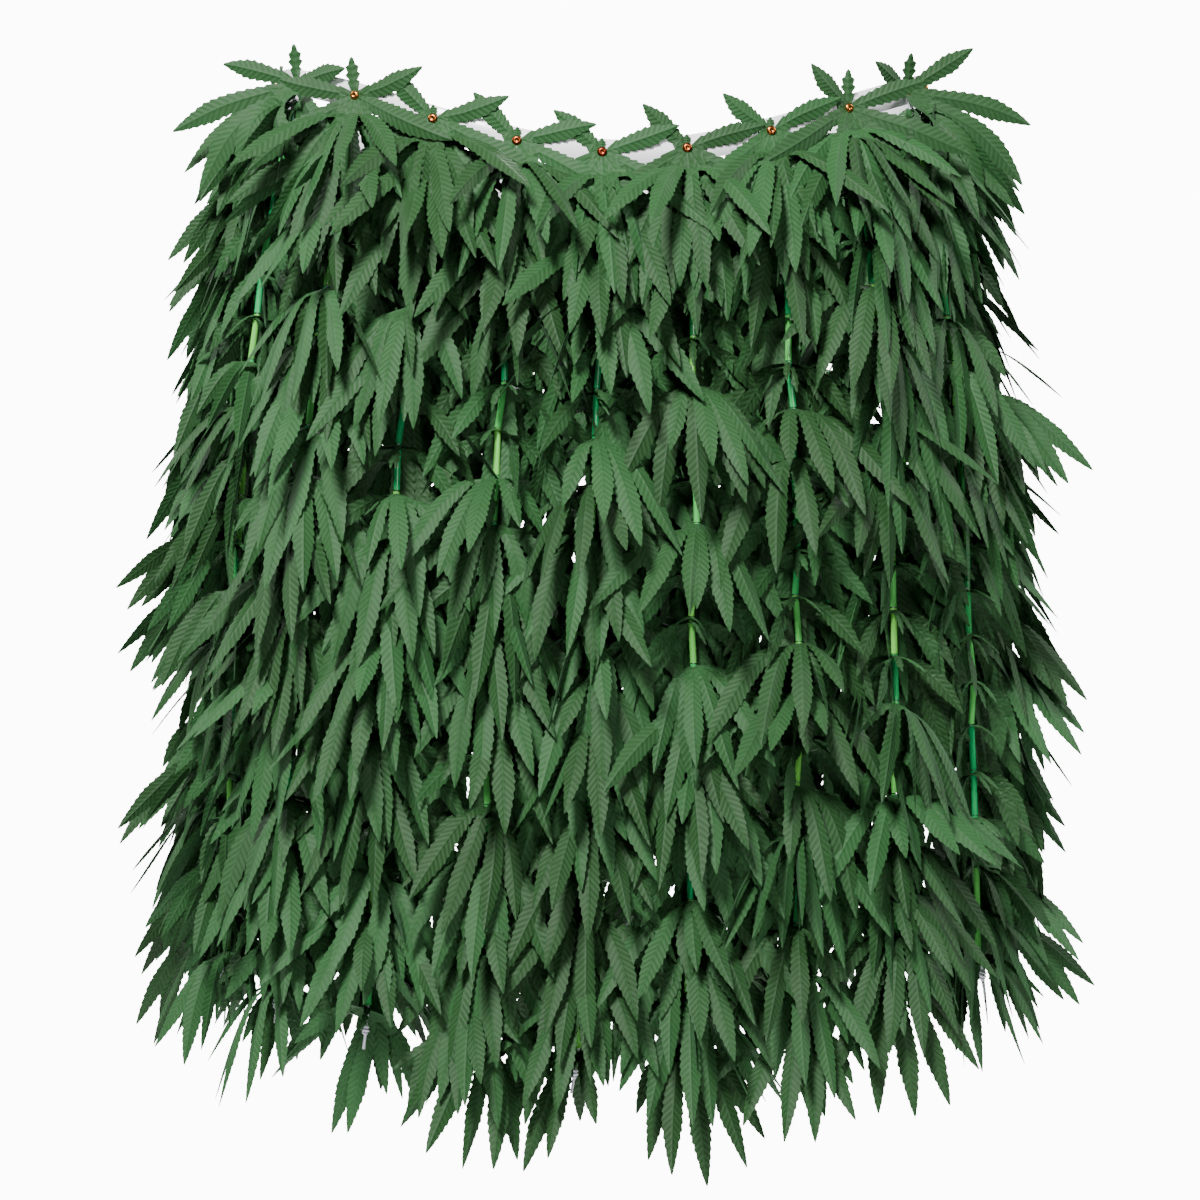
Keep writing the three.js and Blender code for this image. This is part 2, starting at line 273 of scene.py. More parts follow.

# Dyed synthetic cloth, stiffened and pressed: a dull green with a faint silky bloom, and veins with a painted
# highlight that makes them paler.
leaf_cloth, tree, shader = new_finish(
    "leaf cloth", Roughness=0.6, Sheen_Weight=0.06, Sheen_Roughness=0.4,
    Sheen_Tint=colour("#BFE6CF"), Specular_IOR_Level=0.22,
)
uv = put(tree, "ShaderNodeSeparateXYZ", {0: put(tree, "ShaderNodeUVMap", uv_map="leaf")})
run = put(tree, MATH, {0: uv.outputs[0], 1: UV_LENGTH / VEIN_PITCH}, operation="MULTIPLY")
off_midrib = put(tree, MATH, {0: uv.outputs[1], 1: 0.5}, operation="SUBTRACT")
aside = put(tree, MATH, {0: off_midrib}, operation="ABSOLUTE")
slant = put(tree, MATH, {0: aside, 1: VEIN_SLANT * UV_WIDTH / VEIN_PITCH}, operation="MULTIPLY")
count = put(tree, MATH, {0: run, 1: slant}, operation="SUBTRACT")
phase = put(tree, MATH, {0: count, 1: 2 * math.pi}, operation="MULTIPLY")
wave = put(tree, MATH, {0: phase}, operation="SINE")
veins = put(tree, MATH, {0: wave, 1: 0.5, 2: 0.5}, operation="MULTIPLY_ADD")
fade = put(tree, MATH, {0: aside, 1: MIDRIB_EDGE}, operation="MULTIPLY")
within = put(tree, MATH, {0: fade, 1: 1.0}, operation="MINIMUM")
midrib = put(tree, MATH, {0: 1.0, 1: within}, operation="SUBTRACT")
print("veins every", VEIN_PITCH / MM, "mm of a finger")

# %% Leaf colours and relief
CLOUDS = 38  # to a metre: a shade of dye every 26 mm
# The paler veins are a painted highlight, which grows stronger and weaker in patches this large.
HIGHLIGHT_PATCHES = 90  # to a metre: the veins are paler and less pale every 11 mm
WEAVE = 2600  # to a metre: a thread every 0.38 mm
RELIEF_DEPTH = 0.35 * MM

position = put(tree, "ShaderNodeTexCoord").outputs["Object"]
tone = put(tree, "ShaderNodeAttribute", attribute_name="tone").outputs["Fac"]
clouds = put(tree, NOISE, {"Vector": position, "Scale": CLOUDS, "Detail": 3, "Roughness": 0.6})
highlight_patch_noise = put(tree, NOISE, {"Vector": position, "Scale": HIGHLIGHT_PATCHES, "Detail": 2, "Roughness": 0.6})
weave = put(tree, NOISE, {"Vector": position, "Scale": WEAVE, "Detail": 1, "Roughness": 0.6})

dyed = put(tree, MIX, {SHARE: tone, FIRST: colour("#183512"), SECOND: colour("#29552B")}, data_type="RGBA")
cloudy = put(tree, MATH, {0: clouds, 1: 0.45}, operation="MULTIPLY")
shaded = put(tree, MIX, {
    SHARE: cloudy, FIRST: dyed.outputs[MIXED], SECOND: colour("#1D3F19"),
}, data_type="RGBA")
# Painted highlight: on the veins and midrib, in noise patches, the green is mixed towards a pale blue-green, as
# if light caught the pressed veins.
patches = put(tree, MATH, {0: highlight_patch_noise, 1: 0.8}, operation="MULTIPLY")
pressed = put(tree, MATH, {0: veins, 1: midrib}, operation="MAXIMUM")
vein_highlight_mask = put(tree, MATH, {0: pressed, 1: patches}, operation="MULTIPLY")
vein_highlight_share = put(tree, MATH, {0: vein_highlight_mask, 1: 0.46}, operation="MULTIPLY")
base = put(tree, MIX, {SHARE: vein_highlight_share, FIRST: shaded.outputs[MIXED], SECOND: colour("#486F4D")}, data_type="RGBA")
tree.links.new(base.outputs[MIXED], shader.inputs["Base Color"])

vein_height = put(tree, MATH, {0: veins, 1: 0.6}, operation="MULTIPLY")
midrib_height = put(tree, MATH, {0: midrib, 1: 0.9}, operation="MULTIPLY")
ribs = put(tree, MATH, {0: vein_height, 1: midrib_height}, operation="ADD")
thread_height = put(tree, MATH, {0: weave, 1: 0.12}, operation="MULTIPLY")
height = put(tree, MATH, {0: ribs, 1: thread_height}, operation="ADD")
relief = put(tree, BUMP, {"Distance": RELIEF_DEPTH, "Strength": 0.7, "Height": height})
tree.links.new(relief.outputs[0], shader.inputs["Normal"])
print("leaf cloth has", len(tree.nodes), "nodes")

# %% [markdown]
# ## The other finishes
# The tubes differ a little from one to the next, so each copy carries a tone that the material reads.
# The rivets carry a tone too: a painted reflection that makes the ones at the sides brighter. The
# string, tape and closure are white, and their grain and gloss tell them apart, with painted lavender-grey
# shade on the tape.

# %% Tube, string, tape, rivet and closure
STRING_GRAIN = 1800  # to a metre: a strand's twist every 0.6 mm
TAPE_FOLD_SHADES = 30  # to a metre: a patch of painted lavender-grey fold shade every 33 mm
TAPE_RIPPLES = 60  # to a metre: a soft dent every 17 mm
NAP_GRAIN = 1500  # to a metre: a tuft of hooks or loops every 0.7 mm

# Extruded soft vinyl: glossy and a little clear, so that a sharp streak of light runs down each tube.
tube_vinyl, tree, shader = new_finish(
    "green tube", Roughness=0.16, Coat_Weight=0.5, Coat_Roughness=0.08, Transmission_Weight=0.15,
)
tone = put(tree, "ShaderNodeAttribute", attribute_name="tone").outputs["Fac"]
base = put(tree, MIX, {SHARE: tone, FIRST: colour("#1DB065"), SECOND: colour("#80DC5C")}, data_type="RGBA")
tree.links.new(base.outputs[MIXED], shader.inputs["Base Color"])

# Twisted synthetic string: matt white, with a grain that breaks up its shading.
twisted_string, tree, shader = new_finish(
    "white string", Roughness=0.7, Sheen_Weight=0.2, Base_Color=colour("#E4E2F0"),
)
position = put(tree, "ShaderNodeTexCoord").outputs["Object"]
grain = put(tree, NOISE, {"Vector": position, "Scale": STRING_GRAIN, "Detail": 2, "Roughness": 0.6})
relief = put(tree, BUMP, {"Distance": 0.2 * MM, "Strength": 0.5, "Height": grain})
tree.links.new(relief.outputs[0], shader.inputs["Normal"])

# Smooth plastic tape: white, with patches of painted lavender-grey shade in place of the shade in its folds,
# and a soft gloss which bends where the tape ripples.
tape_gloss, tree, shader = new_finish("white tape", Roughness=0.28, Coat_Weight=0.3, Coat_Roughness=0.1)
position = put(tree, "ShaderNodeTexCoord").outputs["Object"]
fold_shade_noise = put(tree, NOISE, {"Vector": position, "Scale": TAPE_FOLD_SHADES, "Detail": 2, "Roughness": 0.6})
# Painted shade: noise patches mix the white towards a lavender grey, standing in for the shade in the tape's
# folds.
fold_shade_share = put(tree, MATH, {0: fold_shade_noise, 1: 0.5}, operation="MULTIPLY")
base = put(tree, MIX, {SHARE: fold_shade_share, FIRST: colour("#FFFFFF"), SECOND: colour("#E6E2F6")}, data_type="RGBA")
tree.links.new(base.outputs[MIXED], shader.inputs["Base Color"])
ripples = put(tree, NOISE, {"Vector": position, "Scale": TAPE_RIPPLES, "Detail": 2, "Roughness": 0.6})
relief = put(tree, BUMP, {"Distance": 0.5 * MM, "Strength": 0.35, "Height": ripples})
tree.links.new(relief.outputs[0], shader.inputs["Normal"])

# Stamped copper: small warm glints, from a brown to a brighter golden orange; the brighter colour is a painted
# reflection, given to the rivets at the sides.
rivet_copper, tree, shader = new_finish("copper rivet", Roughness=0.3, Metallic=1.0)
tone = put(tree, "ShaderNodeAttribute", attribute_name="tone").outputs["Fac"]
base = put(tree, MIX, {SHARE: tone, FIRST: colour("#8A3A22"), SECOND: colour("#E39A48")}, data_type="RGBA")
tree.links.new(base.outputs[MIXED], shader.inputs["Base Color"])

# Woven nylon with a nap: matt and rough, with no highlight at all.
closure_nylon, tree, shader = new_finish(
    "hook and loop", Roughness=0.95, Sheen_Weight=0.4, Base_Color=colour("#E3E2E6"),
)
position = put(tree, "ShaderNodeTexCoord").outputs["Object"]
nap = put(tree, NOISE, {"Vector": position, "Scale": NAP_GRAIN, "Detail": 2, "Roughness": 0.6})
relief = put(tree, BUMP, {"Distance": 0.5 * MM, "Strength": 1.0, "Height": nap})
tree.links.new(relief.outputs[0], shader.inputs["Normal"])
print("finishes made:", len(bpy.data.materials))

# %% [markdown]
# ## One leaf
# The leaf is die-cut from cloth: seven long fingers and a short stalk round a palm, every edge cut into
# forward-pointing teeth. A picture of a leaf on a card would look flat from the side, and a sculpted leaf
# would be hard to repeat, so each finger is built as a row of cross sections. A section has two edge
# points and a midrib that stands a little above them, and a flat underside closes it to a thin shell.

# %% The cut of a leaf, in millimetres and degrees
Finger = namedtuple("Finger", "name angle length width")
FINGERS = [
    Finger("base right", -103, 56, 11.5),
    Finger("outer right", -62, 78, 13),
    Finger("inner right", -33, 88, 14),
    Finger("middle", 0, 92, 14),
    Finger("inner left", 33, 88, 14),
    Finger("outer left", 62, 78, 13),
    Finger("base left", 103, 56, 11.5),
    Finger("stalk", 180, 25, 5.5),
]
MIDDLE_FINGER = 3
NOTCHES = [11, 14, 15, 15, 14, 11, 5, 5]  # from the palm's middle to the notch after each finger
TOOTH_PITCH = 5.2
TOOTH_DEPTH = 0.95
TOOTH_POINT = 0.72  # where along its pitch a tooth stands out, past its middle so that it points forwards
LEAST_HALF = 0.25  # of a finger's width, beside its tip
CLOTH = 0.5  # thickness at the midrib
FOLD = 0.16  # slope from the midrib down to each edge, from the pressed-in vein
ROOT_FILL = 0.7  # how much of its box the root of a finger fills, between two notches
TAPER = 0.42  # the share of a finger, at its end, that narrows to the tip
Section = namedtuple("Section", "centre across up")


def half_width(finger, share):
    """Half of a finger's width, at a share of the way from its root to its tip."""
    belly = math.sin(math.pi * (0.2 + 0.45 * share))
    return finger.width / 2 * belly * min(1, (1 - share) / TAPER) ** 0.7


print("widest place of the middle finger", round(2 * half_width(FINGERS[MIDDLE_FINGER], 1 - TAPER), 1), "mm")


# %% The shell of a leaf
class LeafShell:
    """The points, faces and UVs of one leaf or more, in millimetres."""

    def __init__(self):
        self.points, self.faces, self.uvs, self.cut = [], [], [], 0.0

    def point(self, p):
        self.points.append(p)
        return len(self.points) - 1

    def face(self, corners, marks):
        self.faces.append(corners)
        self.uvs.append([(s * MM / UV_LENGTH, 0.5 + v * MM / UV_WIDTH) for s, v in marks])

    def leaf(self, spine):
        """Add a leaf. spine(i, s) is the section of finger i at s from the palm's middle."""
        hub = spine(MIDDLE_FINGER, 0)
        top = self.point(hub.centre + hub.up * CLOTH / 2)
        under = self.point(hub.centre - hub.up * CLOTH / 2)
        count = len(FINGERS)
        notches = [
            self.point((spine(i, NOTCHES[i]).centre + spine((i + 1) % count, NOTCHES[i]).centre) / 2)
            for i in range(count)
        ]
        for i, finger in enumerate(FINGERS):
            right, left = notches[i - 1], notches[i]
            root = (NOTCHES[i - 1] + NOTCHES[i]) / 2
            section = spine(i, root)
            mid = self.point(section.centre + section.up * CLOTH / 2)
            wide = half_width(finger, 0)
            self.face([top, right, mid], [(0, 0), (root, -wide), (root, 0)])
            self.face([top, mid, left], [(0, 0), (root, 0), (root, wide)])
            self.face([under, left, right], [(0, 0), (root, wide), (root, -wide)])
            self.cut += 2 * wide * root * ROOT_FILL
            self.blade(spine, i, root, (root, wide, left, right, mid))

    def blade(self, spine, i, root, last):
        """The toothed part of finger i, from its root to its tip."""
        finger = FINGERS[i]
        length = finger.length - root
        teeth = max(2, round(length / TOOTH_PITCH))
        stops = []
        for k in range(teeth):
            stops.append(((k + TOOTH_POINT) / teeth, 0.0))
            stops.append(((k + 1) / teeth, TOOTH_DEPTH))
        for share, bite in stops[:-1]:
            s = root + length * share
            section = spine(i, s)
            wide = max(half_width(finger, share) - bite * min(1, 3 * (1 - share)), LEAST_HALF)
            droop = section.up * wide * FOLD * min(1, 4 * share)
            left = self.point(section.centre + section.across * wide - droop)
            right = self.point(section.centre - section.across * wide - droop)
            mid = self.point(section.centre + section.up * CLOTH / 2)
            s0, w0, left0, right0, mid0 = last
            self.face([mid0, mid, left, left0], [(s0, 0), (s, 0), (s, wide), (s0, w0)])
            self.face([right0, right, mid, mid0], [(s0, -w0), (s, -wide), (s, 0), (s0, 0)])
            self.face([left0, left, right, right0], [(s0, w0), (s, wide), (s, -wide), (s0, -w0)])
            self.cut += (wide + w0) * (s - s0)
            last = (s, wide, left, right, mid)
        s0, w0, left0, right0, mid0 = last
        s = finger.length
        tip = self.point(spine(i, s).centre)
        self.face([mid0, tip, left0], [(s0, 0), (s, 0), (s0, w0)])
        self.face([right0, tip, mid0], [(s0, -w0), (s, 0), (s0, 0)])
        self.face([right0, left0, tip], [(s0, -w0), (s0, w0), (s, 0)])

    def mesh(self, name):
        mesh = bpy.data.meshes.new(name)
        mesh.from_pydata([p * MM for p in self.points], [], self.faces)
        layer = mesh.uv_layers.new(name="leaf")
        layer.data.foreach_set("uv", [x for face in self.uvs for mark in face for x in mark])
        mesh.update()
        return mesh


# %% [markdown]
# ## How a leaf hangs
# A leaf is threaded through its palm, level with the ground, and its fingers bend over under their own
# weight, fast near the palm and slowly towards the tip, like an umbrella's. A cloth simulation of eight
# hundred leaves would be slow and hard to steer, so each finger's bend is a short formula instead.
# A leaf has one of six looks. It faces the front, sweeps its fingers to one side, turns a side or its
# back, is spread by the tape above it, or hangs at a hip and shows its outer fingers to the front or the
# back. Eight or twelve variants of each look, 56 in all, are enough to make repeats hard to find.

# %% Bending the fingers, in degrees and millimetres
FACED = 0.85  # how far a finger still turns its face the way that the middle finger does
FACED_WITHIN = 120  # and past this turn it doesn't
OUTWARD = 0.6  # a finger whose way has more of +X than this counts as an outward one
REARWARD = 150  # a finger that turns more than this lies against the wearer
OUTWARD_END, OUTWARD_SOON = (66, 84), (11, 20)  # the slope that a finger ends at, and how soon it comes
STIFF_END, STIFF_SHARE = (61, 67), 0.2  # one outward finger in five holds out more
SIDE_END, SIDE_SOON = (61, 78), (16, 32)
REAR_END, REAR_SOON = 86, 8
HELD_END, HELD_SOON = (52, 62), (34, 44)  # under the tape, for fingers that turn this much:
HELD_FROM, HELD_TO = 20, 110
LOOSE_END, LOOSE_SOON = 80, 14  # under the tape, for the others
START_SLOPE = 14
STIFFEST = 6  # how much less all the fingers of a leaf bend, at most
SLIDE_TO = 94  # a finger that points to the rear slides round the strand to this turn
SLIDE_OVER = 20
SWEEP = 14  # to one side, at the tip
TWIST = 26  # at the tip
FACE_OVER = 28  # from the palm, to where a finger has its face turned
HIP_FACE = 66  # how far a hip leaf's outer fingers turn their faces to the front or the back
HIP_OUTWARD = 0.35


def direction(slope, way):
    return Vector((math.cos(slope) * math.cos(way), math.cos(slope) * math.sin(way), -math.sin(slope)))


def finger_fall(dice, turned, look):
    """The slope that a finger ends at, in degrees, and how soon it comes, in millimetres."""
    if math.cos(math.radians(turned)) > OUTWARD:
        end, soon = dice.uniform(*OUTWARD_END), dice.uniform(*OUTWARD_SOON)
        if dice.random() < STIFF_SHARE:
            end = dice.uniform(*STIFF_END)
    elif abs(turned) < REARWARD:
        end, soon = dice.uniform(*SIDE_END), dice.uniform(*SIDE_SOON)
    else:
        end, soon = REAR_END, REAR_SOON
    if look == "spread" and HELD_FROM < abs(turned) < HELD_TO:
        end, soon = dice.uniform(*HELD_END), dice.uniform(*HELD_SOON)
    elif look == "spread":
        end, soon = LOOSE_END, LOOSE_SOON
    return end, soon


def finger_face(seed, turned, angle, look):
    """How far a finger twists to turn its face to where its leaf looks, in radians."""
    if look == "hip" and math.cos(math.radians(turned)) > HIP_OUTWARD:
        return math.radians(HIP_FACE if seed % 2 else -HIP_FACE)
    aimed = turned if look in ("swept", "hip") else angle
    return 0 if abs(aimed) > FACED_WITHIN else FACED * math.radians(aimed)


def hanging_spine(seed, facing, look):
    """Sections of a threaded leaf. +X is away from the wearer, and facing turns the middle finger."""
    dice = random.Random(seed)
    lines = []
    stiff = dice.random()
    for finger in FINGERS:
        turned = (finger.angle + facing + dice.uniform(-5, 5) + 180) % 360 - 180
        heading = math.radians(turned)
        start = math.radians(dice.uniform(0, START_SLOPE) + (START_SLOPE if abs(turned) > REARWARD else 0))
        end, soon = finger_fall(dice, turned, look)
        end = math.radians(end - STIFFEST * stiff)
        sweep = math.radians(dice.uniform(-SWEEP, SWEEP))
        slides = SLIDE_TO < abs(turned) < REARWARD
        slide = math.radians(math.copysign(SLIDE_TO, turned) - turned) if slides else 0
        twist = math.radians(dice.uniform(-TWIST, TWIST))
        faced = finger_face(seed, turned, finger.angle, look)
        line, p = [], Vector((0, 0, 0))
        for step in range(int(finger.length) + 3):
            share = step / finger.length
            slope = start + (end - start) * (1 - math.exp(-step / soon))
            way = heading + sweep * share**2 + slide * min(1, step / SLIDE_OVER)
            line.append((p.copy(), slope, way, twist * share + faced * min(1, step / FACE_OVER)))
            p += direction(slope, way)
        lines.append(line)

    def spine(i, s):
        step = min(int(s), len(lines[i]) - 2)
        here, there = lines[i][step], lines[i][step + 1]
        centre = here[0].lerp(there[0], s - step)
        slope, way, twist = here[1:]
        side = Vector((-math.sin(way), math.cos(way), 0))
        up = direction(slope, way).cross(side)
        across = side * math.cos(twist) + up * math.sin(twist)
        return Section(centre, across, up * math.cos(twist) - side * math.sin(twist))

    return spine


# %% Leaf variants
Look = namedtuple("Look", "count least most")  # how many variants, and how far their middle fingers turn
LOOKS = {
    "front": Look(12, -38, 38),
    "swept": Look(12, 55, 100),
    "side": Look(8, 70, 120),
    "back": Look(8, 150, 210),
    "spread": Look(8, -30, 30),
    "hip": Look(8, -48, 48),
}
variants = bpy.data.collections.new("leaf variants")
looks = {}
seed = 0
for look, (count, least, most) in LOOKS.items():
    looks[look] = []
    for k in range(count):
        facing = least + (most - least) * (k + 0.5) / count
        if look in ("side", "swept") and k % 2:
            facing = -facing
        shell = LeafShell()
        shell.leaf(hanging_spine(seed, facing, look))
        leaf = bpy.data.objects.new(f"leaf_{seed:02d}", shell.mesh(f"leaf_{seed:02d}"))
        variants.objects.link(leaf)
        looks[look].append(seed)
        seed += 1

# %% [markdown]
# ## Setting out copies
# Leaves, tubes and rivets all repeat, so one Geometry Nodes tree sets them out. It takes a cloud of
# points that carry which part to place, how it is turned and how large it is, picks the part from a
# collection, and realizes the copies so that they can be exported as one mesh.


# %% The tree that places copies
def new_tree(name, inputs, output):
    """A Geometry Nodes tree with these inputs and one output, and the sockets that bring its inputs."""
    tree = bpy.data.node_groups.new(name, "GeometryNodeTree")
    tree.is_modifier = True
    for socket, kind in inputs.items():
        tree.interface.new_socket(socket, in_out="INPUT", socket_type="NodeSocket" + kind)
    tree.interface.new_socket(output, in_out="OUTPUT", socket_type="NodeSocketGeometry")
    return tree, put(tree, "NodeGroupInput").outputs


placer, given = new_tree("Place copies", {
    "Points": "Geometry", "Parts": "Collection", "Size": "Float", "Finish": "Material",
}, "Copies")
ATTRIBUTE = "GeometryNodeInputNamedAttribute"
which = put(placer, ATTRIBUTE, {"Name": "which"}, data_type="INT").outputs["Attribute"]
turn = put(placer, ATTRIBUTE, {"Name": "turn"}, data_type="FLOAT_VECTOR").outputs["Attribute"]
size = put(placer, ATTRIBUTE, {"Name": "size"}, data_type="FLOAT").outputs["Attribute"]
parts = put(placer, "GeometryNodeCollectionInfo", {
    "Collection": given["Parts"], "Separate Children": True, "Reset Children": True,
}, transform_space="ORIGINAL")
turned = put(placer, "FunctionNodeEulerToRotation", {0: turn})
sized = put(placer, MATH, {0: size, 1: given["Size"]}, operation="MULTIPLY")
copies = put(placer, "GeometryNodeInstanceOnPoints", {
    "Points": given["Points"], "Instance": parts.outputs["Instances"], "Pick Instance": True,
    "Instance Index": which, "Rotation": turned, "Scale": sized,
})
real = put(placer, "GeometryNodeRealizeInstances", {0: copies})
painted = put(placer, "GeometryNodeSetMaterial", {"Geometry": real, "Material": given["Finish"]})
put(placer, "NodeGroupOutput", {0: painted})
print("the placing tree has", len(placer.nodes), "nodes")

# %% Running a tree and keeping its mesh
Copy = namedtuple("Copy", "point which turn size tone")


def run_tree(tree, name, mesh, **inputs):
    """Put mesh through a Geometry Nodes tree and return the result as a plain object."""
    source = bpy.data.objects.new(name + " points", mesh)
    bpy.context.collection.objects.link(source)
    modifier = source.modifiers.new("tree", "NODES")
    modifier.node_group = tree
    for socket in tree.interface.items_tree:
        if socket.name in inputs:
            modifier[socket.identifier] = inputs[socket.name]
    graph = bpy.context.evaluated_depsgraph_get()
    finished = source.evaluated_get(graph)
    result = bpy.data.meshes.new_from_object(finished, preserve_all_data_layers=True, depsgraph=graph)
    bpy.data.objects.remove(source)
    result.name = name
    piece = bpy.data.objects.new(name, result)
    bpy.context.collection.objects.link(piece)
    return piece


def copies_mesh(name, rows):
    """A mesh of bare points, one for each Copy, that carries the rest of the copy as attributes."""
    mesh = bpy.data.meshes.new(name)
    mesh.from_pydata([r.point for r in rows], [], [])
    for key, kind in (("which", "INT"), ("size", "FLOAT"), ("tone", "FLOAT")):
        mesh.attributes.new(key, kind, "POINT").data.foreach_set("value", [getattr(r, key) for r in rows])
    turns = [x for r in rows for x in r.turn]
    mesh.attributes.new("turn", "FLOAT_VECTOR", "POINT").data.foreach_set("vector", turns)
    return mesh


def triangles(piece):
    return sum(len(p.vertices) - 2 for p in piece.data.polygons)


# %% [markdown]
# ## The knots of each strand's line
# The string runs straight inside a tube and turns a little at each leaf. So each strand's line is a row
# of leaf places with a small seeded sway, and its tubes are the straight stretches between them.

# %% Leaf places
SWAY = 1.6 * MM
STAGGER = 6 * MM  # how far above or below the usual place a strand's tubes and leaves sit
TAIL = 26 * MM


def leaf_places(number):
    dice = random.Random(500 + number)
    place = tape_at(number * STRAND_PITCH)
    points = []
    raised = dice.uniform(-STAGGER, STAGGER)
    for j in range(LEAVES):
        sway = SWAY * min(1, j / 3)
        p = strand_point(number, j * LEAF_PITCH + raised * min(1, j))
        points.append(p + place.along * dice.uniform(-sway, sway) + place.out * dice.uniform(0, sway))
    return points


strand_lines = [leaf_places(number) for number in range(STRANDS)]
print("a string is", round((LEAVES - 1) * LEAF_PITCH + TAIL, 3), "m long from its rivet to its end")

# %% [markdown]
# ## The top leaves
# The first leaf of each strand lies on the tape under its rivet. Its base fingers and stalk lie along
# the tape and stand a little above it, where neighbours cross, and its long fingers fall over the strand.
# These are placed by formulas on the tape itself, so that they follow its curve. Near the hips
# the tape turns away fast, and there a leaf's outer fingers leave it and stand out.

# %% Top leaf sections, in millimetres and degrees
# Each top leaf's own turn on its rivet, in the order of the strands
CROWN_TURN = [2, 3, 8, 6, 21, 0, 5, 4, -6, 3, -5, 6, -4, 7, -3, 5, 0, -4, 5, 3, 2]
CROWN_BASE = {"base right": (-137, 0.68), "base left": (103, 0.88), "stalk": (178, 0.34)}  # angle, length kept
CORNER_BASE_RIGHT = (-108, 0.85)  # angle and length kept, on the side that is away from the hip
CORNER_STALK = 0.95  # length kept
CORNER_STALK_WIDE = 1.6
CORNER_FREE = 0.8  # how far a free finger turns back to the front, of the tape's own turn
CROWN_WIDE = 1.15  # the top leaves lie flat, so they look broader
PRESSED = 18  # how far to each side of its rivet a top leaf follows the tape
SIDEWAYS, CORNER_LEAST, CORNER_MOST = 0.5, 0.35, 0.95  # X of the tape's outward direction
HIP_WIDEST = 92  # the most that a finger turns on the leaf at the hip itself
OFF_TAPE = 1.2  # from the tape's middle to the leaf's
HUMP_AT, HUMP_LENGTH = 22, 20  # where a finger stands up before it falls
FALL_BACK = 6


def crown_finger(finger, corner, at_hip, outer):
    """The angle of a top leaf's finger, and the share of its length that shows."""
    angle, kept = CROWN_BASE.get(finger.name, (finger.angle, 1.0))
    if corner and finger.name == "base right" and outer < 0:
        angle, kept = CORNER_BASE_RIGHT
    if corner and finger.name == "stalk":
        kept = CORNER_STALK
    if at_hip and finger.name != "stalk":
        angle = max(-HIP_WIDEST, min(HIP_WIDEST, angle))
    return angle, kept


def crown_spine(number):
    """Sections of the riveted leaf, pressed on the tape and falling over the strand below it."""
    dice = random.Random(900 + number)
    rivet = number * STRAND_PITCH / MM
    middle = tape_at(rivet * MM)
    level = middle.point.z / MM
    sideways = abs(middle.out.x) > SIDEWAYS
    corner = CORNER_LEAST < abs(middle.out.x) < CORNER_MOST
    at_hip = abs(middle.out.x) > CORNER_MOST
    turn = math.atan2(abs(middle.out.x), abs(middle.out.y)) * CORNER_FREE if corner else 0.0
    outer = math.copysign(1, middle.along.x * middle.out.x)  # the side of the rivet that is nearer to a hip
    lines = []
    for finger in FINGERS:
        usual, kept = crown_finger(finger, corner, at_hip, outer)
        angle = math.radians(usual + CROWN_TURN[number] + dice.uniform(-4, 4))
        lower = max(0.0, math.cos(angle))
        lift = math.radians((dice.uniform(36, 54) if sideways else dice.uniform(24, 40)) * (0.2 + lower))
        sag = dice.uniform(0.1, 0.3) * lower
        sweep = math.radians(dice.uniform(-12, 12))
        freed = math.sin(angle) * outer > 0 or corner and finger.name == "stalk"
        free = turn if freed else 0.0
        pressed = 0 if free else PRESSED
        follow = 0.4 if lower < 0.3 else 0.0  # how far a finger along the tape rises with it
        line, aside, rise, off = [], 0.0, 0.0, OFF_TAPE
        for step in range(int(finger.length) + 4):
            share = step / finger.length
            bend = angle * (1 - sag * share) + sweep * share**2
            hump = math.exp(-(((step - HUMP_AT) / HUMP_LENGTH) ** 2))
            away = lift * hump - math.radians(FALL_BACK) * share
            flat = min(max(aside, -pressed), pressed)
            place = tape_at((rivet + flat) * MM)
            loose = aside - flat
            sideward = place.along * loose * math.cos(free)
            outward = place.out * (max(off, OFF_TAPE) + abs(loose) * math.sin(free))
            centre = place.point / MM + sideward + outward
            centre.z = level + follow * (centre.z - level) + rise
            line.append((centre, place.out * math.cos(free) - place.along * outer * math.sin(free)))
            aside += math.cos(away) * math.sin(bend) * kept
            rise -= math.cos(away) * math.cos(bend) * kept
            off += math.sin(away) * kept
        lines.append(line)

    def spine(i, s):
        step = min(int(s), len(lines[i]) - 2)
        (here, out), (there, _) = lines[i][step], lines[i][step + 1]
        forward = (there - here).normalized()
        across = out.cross(forward).normalized()
        wide = CROWN_WIDE * (CORNER_STALK_WIDE if corner and FINGERS[i].name == "stalk" else 1)
        return Section(here.lerp(there, s - step), across * wide, forward.cross(across))

    return spine


# %% [markdown]
# ## Leaves on the strands
# Each leaf turns its own way. Most face the front or sweep to one side, so that their long fingers hide
# the tubes below, and in a few stretches of each strand they turn their backs and the tubes show. Most
# places hold two leaves threaded together, and two more hang under the riveted one, which is what makes
# the skirt so thick. The turns are drawn with a fixed seed, so it comes out the same each time.

# %% How many leaves, and which way they turn
UNDER_TAPE = 10  # mm from the rivet down to two more leaves, on top of the first tube
DOUBLED = (1, 2, 3, 4, 5, 7, 8, 9, 10, 11, 12, 13, 15, 16, 17, 18)  # places with two leaves
BACK_SIZE, LEFT_SIZE, RIGHT_SIZE = 0.98, 0.88, 0.95
LAST_SIZE, LAST_LEAVES = 0.93, 3  # the cut ends of the strands carry smaller leaves
HIP_OUT = 0.75  # X of the outward direction, past which a strand hangs at a hip

